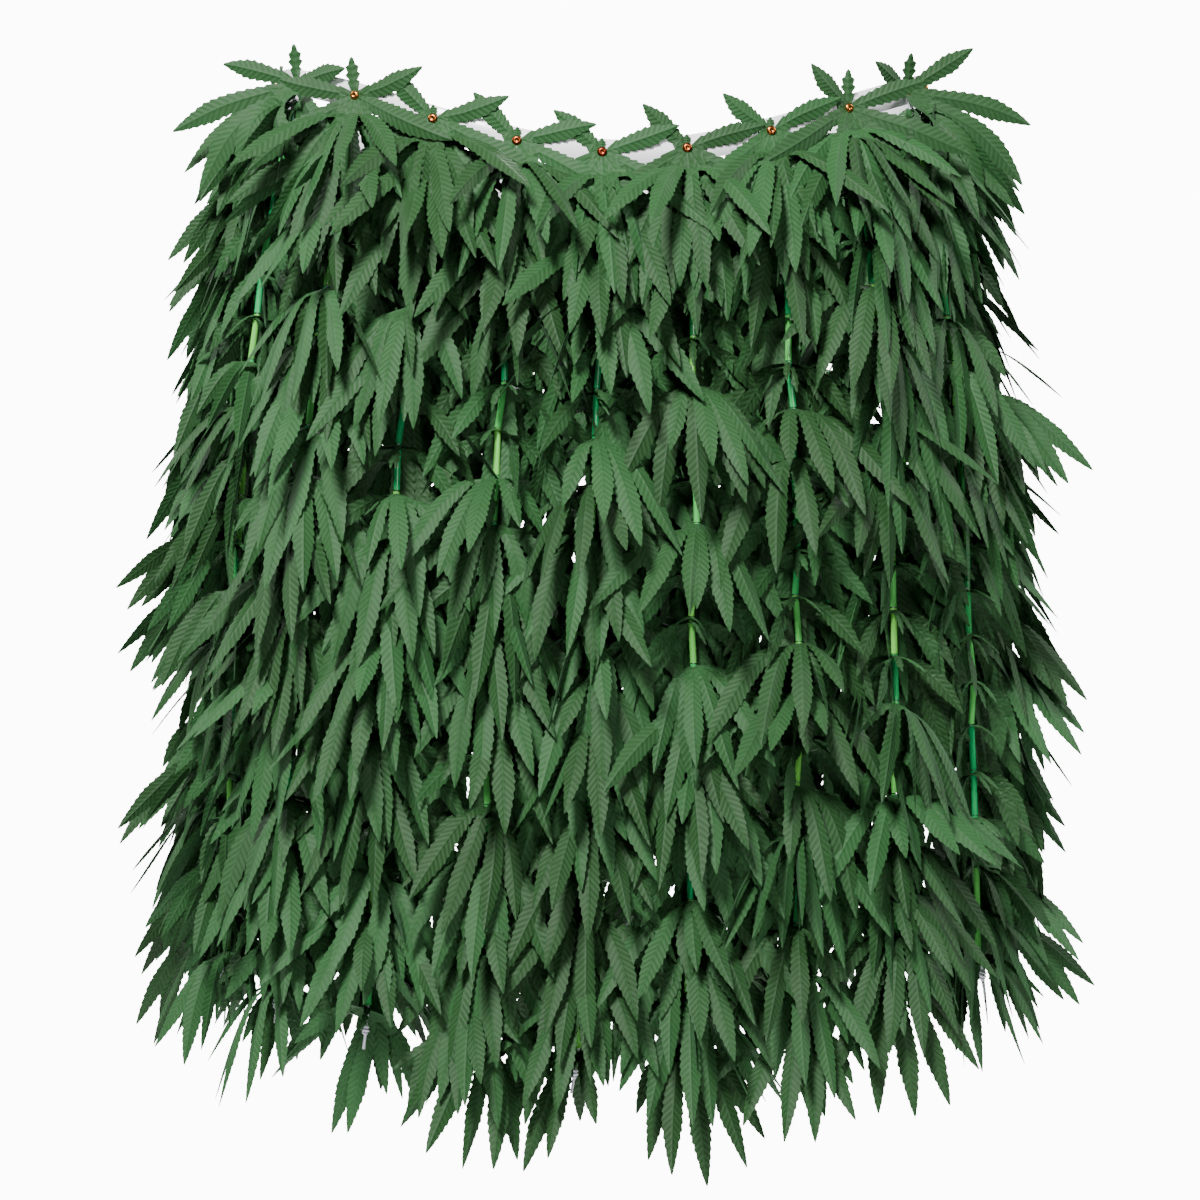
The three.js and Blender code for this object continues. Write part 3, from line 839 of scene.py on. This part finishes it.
# Chances for each look, which are weighed against each other
AT_HIP = {"swept": 3, "side": 6, "hip": 9}
AT_BACK = {"front": 6, "swept": 10}
AT_FRONT = {"front": 11, "swept": 6, "back": 1}
FIRST_LEAF = {"front": 3, "swept": 3, "spread": 9}
UPPER_LEAVES = {"front": 5, "swept": 8, "side": 2}  # full, to hide the line of the tape's lower edge
BARE = {"swept": 3, "back": 12}
SECOND_AT_HIP = {"swept": 7, "side": 5, "back": 1}
SECOND = {"swept": 9, "side": 2, "back": 1}
SECOND_BARE = {"back": 1}


# %% Set out the leaves
def leaf_rows(number):
    dice = random.Random(100 + number)
    out = tape_at(number * STRAND_PITCH).out
    yaw = math.atan2(out.y, out.x)
    large = BACK_SIZE if out.y > 0.3 else LEFT_SIZE if out.x < -0.5 else RIGHT_SIZE if out.x > HIP_OUT else 1
    hip = abs(out.x) > HIP_OUT

    def copy(j, look, lower):
        tilt = (math.radians(dice.gauss(0, 7)), math.radians(dice.gauss(-5, 7)))
        turn = (*tilt, yaw + math.radians(dice.uniform(-12, 12)))
        point = strand_lines[number][j] - Vector((0, 0, lower + dice.uniform(0, 1.5))) * MM
        side_first = (j + (lower > 0)) % 2  # swept leaves go to each side in turn
        choice = looks[look][side_first::2] if look == "swept" else looks[look]
        size = dice.uniform(0.97, 1.06) * large * (LAST_SIZE if j >= LEAVES - LAST_LEAVES else 1)
        return Copy(point, dice.choice(choice), turn, size, dice.uniform(0.0, 1.0))

    def draw(chances):
        return dice.choices(list(chances), list(chances.values()))[0]

    rows = [copy(0, "hip" if hip else "spread", UNDER_TAPE), copy(0, "hip" if hip else "front", UNDER_TAPE + 5)]
    for j in range(1, LEAVES):
        drop = j * LEAF_PITCH / MM
        bare = any(least <= drop <= most for least, most in STRAND_ROWS[number].bare)
        chances = AT_HIP if hip else AT_BACK if out.y > 0 else AT_FRONT
        if j < 4 and not hip:
            chances = FIRST_LEAF if j == 1 else UPPER_LEAVES
        rows.append(copy(j, draw(BARE if bare else chances), 0))
        if j in DOUBLED:
            chances = SECOND_BARE if bare and j > 2 else SECOND_AT_HIP if hip else SECOND
            rows.append(copy(j, draw(chances), 1.5))
    return rows


leaf_pieces = []
for number in range(STRANDS):
    name = f"leaves_{number + 1:02d}"
    points = copies_mesh(name, leaf_rows(number))
    piece = run_tree(placer, name, points, Parts=variants, Size=1.0, Finish=leaf_cloth)
    shell = LeafShell()
    shell.leaf(crown_spine(number))
    crown = shell.mesh("crown")
    crown.materials.append(leaf_cloth)
    tones = [random.Random(number).uniform(0.3, 0.9)] * len(crown.vertices)
    crown.attributes.new("tone", "FLOAT", "POINT").data.foreach_set("value", tones)
    top_leaf = bpy.data.objects.new("crown", crown)
    bpy.context.collection.objects.link(top_leaf)
    with bpy.context.temp_override(active_object=piece, selected_editable_objects=[piece, top_leaf]):
        bpy.ops.object.join()
    leaf_pieces.append(piece)
print("leaves:", sum(triangles(p) for p in leaf_pieces), "triangles,", triangles(piece), "in the last strand")

# %% [markdown]
# ## Tubes
# Each tube is a cut length of soft green plastic hose, about an inch long, and its wall shows at the
# ends. One short hose is turned from its outline, and the same tree sets it out between each pair of
# leaves, turned to run from one to the next.


# %% A turned part
def turned_part(name, outline, sides):
    """A closed ring or dome turned round Z from an outline of (radius, height) in millimetres."""
    points, faces, rings = [], [], []
    for radius, height in outline:
        if radius == 0:
            points.append(Vector((0, 0, height)) * MM)
            rings.append([len(points) - 1] * sides)
            continue
        ring = []
        for k in range(sides):
            a = 2 * math.pi * k / sides
            points.append(Vector((radius * math.cos(a), radius * math.sin(a), height)) * MM)
            ring.append(len(points) - 1)
        rings.append(ring)
    closed = outline[0][0] != 0
    for i in range(len(rings) if closed else len(rings) - 1):
        low, high = rings[i], rings[(i + 1) % len(rings)]
        for k in range(sides):
            n = (k + 1) % sides
            faces.append(list(dict.fromkeys((low[k], low[n], high[n], high[k]))))  # a pole's corners meet
    mesh = bpy.data.meshes.new(name)
    mesh.from_pydata(points, [], faces)
    mesh.polygons.foreach_set("use_smooth", [True] * len(mesh.polygons))
    mesh.set_sharp_from_angle(angle=math.radians(50))
    return bpy.data.objects.new(name, mesh)


def parts_of(name, *objects):
    collection = bpy.data.collections.new(name)
    for o in objects:
        collection.objects.link(o)
    return collection


# %% Tubes, in millimetres
OUTSIDE, BORE, HOSE_SIDES = 2.0, 1.25, 14
HOSE = 27.2 / 2  # half of a tube's length
SHORT_HOSE = 13 / 2  # half of the first one's, under the rivet, where the string leaves the tape


def hose_part(name, half):
    outline = [(OUTSIDE, -half), (OUTSIDE, half), (BORE, half), (BORE, -half)]
    return turned_part(name, outline, HOSE_SIDES)


hoses = parts_of("hoses", hose_part("hose 1", HOSE), hose_part("hose 2", SHORT_HOSE))
dice = random.Random(31)
rows = []
for line in strand_lines:
    for above, below in zip(line, line[1:]):
        turn = (above - below).to_track_quat("Z", "Y").to_euler("XYZ")
        first = above is line[0]
        middle = below + (above - below) * (SHORT_HOSE / LEAF_PITCH * MM) if first else (above + below) / 2
        rows.append(Copy(middle, int(first), turn, 1.0, dice.random() ** 1.6))
tubes = run_tree(placer, "tubes", copies_mesh("tubes", rows), Parts=hoses, Size=1.0, Finish=tube_vinyl)
print(len(rows), "tubes,", triangles(tubes), "triangles")

# %% [markdown]
# ## Strings and knots
# The string comes out of the rivet, runs through every tube and leaf and ends in a small twisted knot
# with a short tail. A path that is swept with a round section does all of it, with the knot as a few
# tight turns of the same path.

# %% The tree that sweeps a section along a path
sweeper, given = new_tree("Sweep a section", {
    "Path": "Geometry", "Round": "Bool", "Width": "Float", "Height": "Float", "Finish": "Material",
}, "Swept")
path = put(sweeper, "GeometryNodeMeshToCurve", {0: given["Path"]})
upright = put(sweeper, "GeometryNodeSetCurveNormal", {"Curve": path}, mode="Z_UP")
half = put(sweeper, MATH, {0: given["Width"], 1: 0.5}, operation="MULTIPLY")
circle = put(sweeper, "GeometryNodeCurvePrimitiveCircle", {"Resolution": 8, "Radius": half})
oblong = put(sweeper, "GeometryNodeCurvePrimitiveQuadrilateral", {0: given["Width"], 1: given["Height"]})
softened = put(sweeper, "GeometryNodeFilletCurve", {0: oblong, "Radius": half, "Limit Radius": True})
section = put(sweeper, "GeometryNodeSwitch", {
    0: given["Round"], 1: softened, 2: circle,
}, input_type="GEOMETRY")
swept = put(sweeper, "GeometryNodeCurveToMesh", {
    "Curve": upright, "Profile Curve": section, "Fill Caps": True,
})
painted = put(sweeper, "GeometryNodeSetMaterial", {"Geometry": swept, "Material": given["Finish"]})
real = put(sweeper, "GeometryNodeRealizeInstances", {0: painted})
put(sweeper, "NodeGroupOutput", {0: real})
print("the sweeping tree has", len(sweeper.nodes), "nodes")


def path_mesh(name, lines):
    points, edges = [], []
    for line in lines:
        start = len(points)
        points += line
        edges += [(start + i, start + i + 1) for i in range(len(line) - 1)]
    mesh = bpy.data.meshes.new(name)
    mesh.from_pydata(points, edges, [])
    return mesh


# %% Strings
KNOT_TURNS, KNOT_RADIUS, KNOT_HEIGHT = 3, 1.7 * MM, 6 * MM
KNOT_STEPS = 10  # to each turn
LOOSE_END_LENGTH = 9 * MM  # of string below the knot
STRING_START = 4 * MM  # below the rivet


def string_line(number):
    line = [strand_point(number, STRING_START)] + strand_lines[number][1:]
    dice = random.Random(700 + number)
    end = line[-1] - Vector((0, 0, TAIL - KNOT_HEIGHT - LOOSE_END_LENGTH))
    lean = Vector((dice.uniform(-4, 4), dice.uniform(-3, 3), 0)) * MM
    line.append(line[-1].lerp(end, 0.5) + lean * 0.3)
    steps = KNOT_TURNS * KNOT_STEPS
    for k in range(steps + 1):
        turn = 2 * math.pi * k / KNOT_STEPS
        reach = KNOT_RADIUS * math.sin(math.pi * k / steps) ** 0.4
        rise = KNOT_HEIGHT * k / steps
        line.append(end + lean + Vector((reach * math.cos(turn), reach * math.sin(turn), -rise)))
    line.append(line[-1] + lean * 0.6 - Vector((0, 0, LOOSE_END_LENGTH)))
    return line


strings = run_tree(
    sweeper, "strings", path_mesh("strings", [string_line(n) for n in range(STRANDS)]),
    Round=True, Width=2 * STRING_RADIUS, Height=0.0, Finish=twisted_string,
)
print("strings:", triangles(strings), "triangles")

# %% [markdown]
# ## The tape
# The waistband is a smooth flat tape with soft edges. It is swept along the waist, and its far end
# slips behind the near one at the back, where the closure holds them. Its material has a slight ripple,
# which keeps its shine from looking machined.

# %% Tape
CLOSURE_AT = 10.5 * STRAND_PITCH
CLOSURE_LAP = 0.6 * STRAND_PITCH
LAP_START = CLOSURE_AT - CLOSURE_LAP / 2
PATCH_LENGTH, PATCH_HEIGHT, PATCH_THICKNESS = 26 * MM, 13 * MM, 0.8 * MM
TUCK = TAPE_THICKNESS + 2 * PATCH_THICKNESS + 3 * SEAM_GAP
TUCK_RUN = 7 * MM
TUCK_EARLY = 1 * MM  # the tuck ends this far before the lap begins
PATH_STEP = 2.54 * MM


def tape_offset(s):
    x = min(max((s - (LAP_START + PERIMETER - TUCK_RUN - TUCK_EARLY)) / TUCK_RUN, 0), 1)
    return -TUCK * x * x * (3 - 2 * x)


def along_tape(start, end, offset_at):
    count = round((end - start) / PATH_STEP)
    line = []
    for i in range(count + 1):
        s = start + (end - start) * i / count
        place = tape_at(s)
        line.append(place.point + place.out * offset_at(s))
    return line


tape_line = along_tape(LAP_START, LAP_START + PERIMETER + CLOSURE_LAP, tape_offset)
tape = run_tree(
    sweeper, "tape", path_mesh("tape", [tape_line]),
    Round=False, Width=TAPE_THICKNESS, Height=TAPE_WIDTH, Finish=tape_gloss,
)
box = [[round(f(v.co[k] for v in tape.data.vertices) / MM, 1) for k in range(3)] for f in (min, max)]

# %% Closure patches
patches = []
for layer, node in enumerate(("closure_hook", "closure_loop")):
    inwards = TAPE_THICKNESS / 2 + SEAM_GAP + PATCH_THICKNESS / 2 + layer * (PATCH_THICKNESS + SEAM_GAP)
    line = along_tape(CLOSURE_AT - PATCH_LENGTH / 2, CLOSURE_AT + PATCH_LENGTH / 2, lambda s: -inwards)
    patches.append(run_tree(
        sweeper, node + "_nap", path_mesh(node + "_nap", [line]),
        Round=False, Width=PATCH_THICKNESS, Height=PATCH_HEIGHT, Finish=closure_nylon,
    ))
print("patches:", [piece.name for piece in patches])

# %% [markdown]
# ## Rivets
# A small copper dome with a rolled rim and a dimple in its middle presses each top leaf to the tape. One
# is turned from its outline and the placing tree sets out all of them, each square to the tape.

# %% Rivets
RIVET_OFF = TAPE_THICKNESS / 2 + 1.35 * MM  # from the middle of the tape, past the top leaf
DOME_SIDES = 20
DOME = [(0, 0), (2.9, 0), (3.0, 0.5), (2.7, 1.1), (1.9, 1.6), (1.1, 1.65), (0.7, 1.25), (0, 1.1)]

domes = parts_of("domes", turned_part("dome", DOME, DOME_SIDES))
rows = []
for number in range(STRANDS):
    place = tape_at(number * STRAND_PITCH)
    turn = place.out.to_track_quat("Z", "Y").to_euler("XYZ")
    side_glint_share = abs(place.out.x) ** 0.7  # painted reflection: the rivets at the sides are painted brighter, as if they caught more light
    rows.append(Copy(place.point + place.out * RIVET_OFF, 0, turn, 1.0, side_glint_share))
rivets = run_tree(placer, "rivets", copies_mesh("rivets", rows), Parts=domes, Size=1.0, Finish=rivet_copper)
print("rivets:", triangles(rivets), "triangles")

# %% [markdown]
# ## Put the pieces in place of the solids
# Each dressed piece is attached to the skirt's body, and the solids that it stands for are hidden.
# The parts that were only copied from are cleared away.

# %% Hand the pieces over
for collection in (variants, hoses, domes):
    for o in list(collection.objects):
        bpy.data.objects.remove(o)
    bpy.data.collections.remove(collection)

strand_nodes = [f"strand_{k:02d}" for k in range(1, STRANDS + 1)]
rivet_nodes = [f"rivet_{k:02d}" for k in range(1, STRANDS + 1)]
for piece, node in zip(leaf_pieces, strand_nodes):
    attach(piece, "root")
    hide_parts(node)
for piece, nodes, slot in (
    (tubes, strand_nodes, "tube_green"),
    (strings, strand_nodes, "string_white"),
    (tape, ["waistband"], "waist_tape"),
    (patches[0], ["closure_hook"], "hook_and_loop"),
    (patches[1], ["closure_loop"], "hook_and_loop"),
    (rivets, rivet_nodes, "rivet_copper"),
):
    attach(piece, "root")
    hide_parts(*nodes)
print("pieces of leaves handed over:", len(leaf_pieces))

# %% [markdown]
# ## Stage and light
# The skirt hangs clear of a pale floor, as far above it as a wearer's hips would be. A strong soft light
# from the upper left and a weak one from the right model the front leaves. One more at each side and two
# behind do the same for the rest. The air round them is kept dim so that the inside stays dark, while
# the camera itself sees a plain white background.

# %% Floor and background
FLOOR_DROP = 1.0
FLOOR_RADIUS, FLOOR_SIDES = 1.1, 64
AIR_GLOW, WHITE_GLOW = 0.018, 12  # the light that the skirt gets, and the white that the camera sees

# Painted board: matt and pale, so that it only catches a soft shadow.
floor_paint = new_finish("pale floor", Roughness=0.8, Base_Color=colour("#F4F4F4"))[0]
rim = [2 * math.pi * k / FLOOR_SIDES for k in range(FLOOR_SIDES)]
floor_mesh = bpy.data.meshes.new("floor")
floor_mesh.from_pydata(
    [(FLOOR_RADIUS * math.cos(a), FLOOR_RADIUS * math.sin(a), -FLOOR_DROP) for a in rim],
    [], [list(range(FLOOR_SIDES))],
)
floor_mesh.materials.append(floor_paint)
floor = bpy.data.objects.new("floor", floor_mesh)
bpy.context.collection.objects.link(floor)

world = bpy.data.worlds.new("air")
bpy.context.scene.world = world
world.use_nodes = True
air = world.node_tree
dim = air.nodes["Background"]
dim.inputs["Color"].default_value = (1, 1, 1, 1)
dim.inputs["Strength"].default_value = AIR_GLOW
white = put(air, "ShaderNodeBackground", {"Color": (1, 1, 1, 1), "Strength": WHITE_GLOW})
seen = put(air, "ShaderNodeLightPath").outputs["Is Camera Ray"]
either = put(air, "ShaderNodeMixShader", {0: seen, 1: dim, 2: white})
air.links.new(either.outputs[0], air.nodes["World Output"].inputs[0])
print("floor", FLOOR_DROP, "m below the waist")

# %% Lights
AIMED_AT = Vector((0, 0, -0.3))
Softbox = namedtuple("Softbox", "name place size power")
SOFTBOXES = [
    Softbox("key", (-0.6, -1.8, 1.4), 0.5, 142),
    Softbox("front", (0.7, -2.5, 0.5), 0.8, 20),
    Softbox("left", (-2.3, 0.3, 1.2), 0.7, 45),
    Softbox("right", (2.3, 0.1, 1.2), 0.7, 45),
    Softbox("back", (0.5, 1.9, 1.5), 0.5, 85),
    Softbox("back fill", (-0.9, 2.5, 0.5), 0.8, 14),
]
for box in SOFTBOXES:
    data = bpy.data.lights.new(box.name, "AREA")
    data.size = box.size
    data.energy = box.power
    light = bpy.data.objects.new(box.name, data)
    light.location = box.place
    light.rotation_euler = (AIMED_AT - Vector(box.place)).to_track_quat("-Z", "Y").to_euler()
    bpy.context.collection.objects.link(light)
print("lights:", [box.name for box in SOFTBOXES])

# %% [markdown]
# ## The size of the dressed skirt
# The dressed skirt is meant to fill the same space as the solids, so its reach is printed, with its
# count of triangles.

# %% Print the reach and the triangles
pieces = leaf_pieces + [tubes, strings, tape, rivets] + patches
corners = [v.co for piece in pieces for v in piece.data.vertices]
visual_box = [[f(c[k] for c in corners) for k in range(3)] for f in (min, max)]
reach = [[round(x, 3) for x in corner] for corner in visual_box]
print("dressed skirt reaches from", reach[0], "to", reach[1])
print("triangles in all:", sum(triangles(p) for p in pieces))
